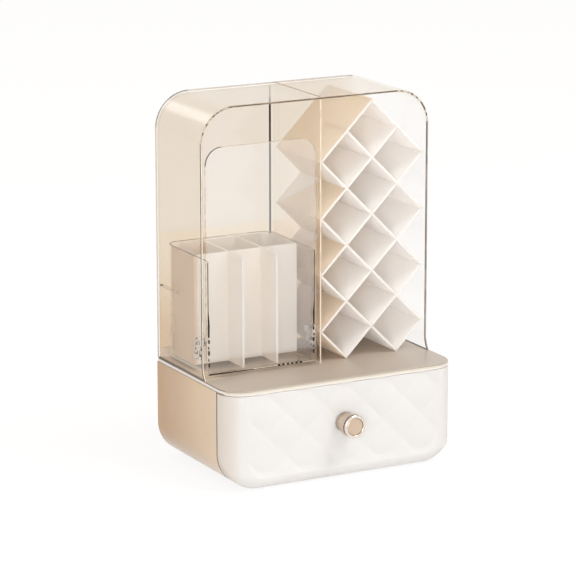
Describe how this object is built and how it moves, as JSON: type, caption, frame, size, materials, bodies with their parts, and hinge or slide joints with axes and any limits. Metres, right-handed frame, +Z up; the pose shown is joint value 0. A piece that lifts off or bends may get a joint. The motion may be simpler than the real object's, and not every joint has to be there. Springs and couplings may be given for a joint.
{
  "type": "makeup organizer",
  "caption": "Tabletop makeup organizer: tinted hood with a diamond lattice and a tilting brush bin, over a base with a quilted drawer.",
  "frame": {"origin": "on the surface it stands on, at the middle of the outer box, knob included", "axes": "+Z up; -Y towards the user, the drawer side; +X to the right seen from the front"},
  "size_m": [0.24, 0.17, 0.35],
  "materials": {
    "housing_tan": "gloss",
    "deck_cream": "gloss",
    "deck_taupe": "high gloss",
    "drawer_white": "satin gloss",
    "box_white": "satin",
    "slide_plastic": "waxy",
    "soft_rubber": "matt",
    "screw_steel": "zinc plated",
    "knob_metal": "brushed, champagne",
    "hood_tint": "clear tinted plastic",
    "clear_plastic": "clear plastic",
    "lattice_white": "satin gloss",
    "insert_white": "satin"
  },
  "bodies": {
    "base": {"housing_shell": "housing_tan", "rear_cover": "housing_tan", "glide_rails": "slide_plastic", "feet": "soft_rubber", "drawer_buffers": "soft_rubber", "deck_frame": "deck_cream", "deck_sheet": "deck_taupe", "hood_arch": "hood_tint", "hood_back": "hood_tint", "divider": "hood_tint", "back_ledge": "hood_tint", "lattice_rising": "lattice_white", "lattice_falling": "lattice_white", "lattice_back": "lattice_white", "hinge_brackets": "clear_plastic", "stop_rib": "clear_plastic", "bin_rests": "clear_plastic"},
    "drawer": {"drawer_box": "box_white", "drawer_front": "drawer_white", "front_screws": "screw_steel", "knob_body": "knob_metal", "knob_face": "knob_metal", "knob_screw": "screw_steel"},
    "bin": {"flap_panel": "clear_plastic", "bin_shell": "clear_plastic", "hinge_pins": "screw_steel", "stop_tab": "clear_plastic"},
    "insert": {"brush_insert": "insert_white"}
  },
  "joints": [
    {"name": "drawer_slide", "type": "slide", "parent": "base", "child": "drawer", "axis": [0, -1, 0], "range_m": [0, 0.086]},
    {"name": "bin_tilt", "type": "hinge", "parent": "base", "child": "bin", "pos_m": [-0.0569, 0.0035, 0.129], "axis": [1, 0, 0], "range_deg": [0, 22]},
    {"name": "insert_lift", "type": "slide", "parent": "bin", "child": "insert", "axis": [0, 0, 1], "range_m": [0, 0.105]}
  ]
}
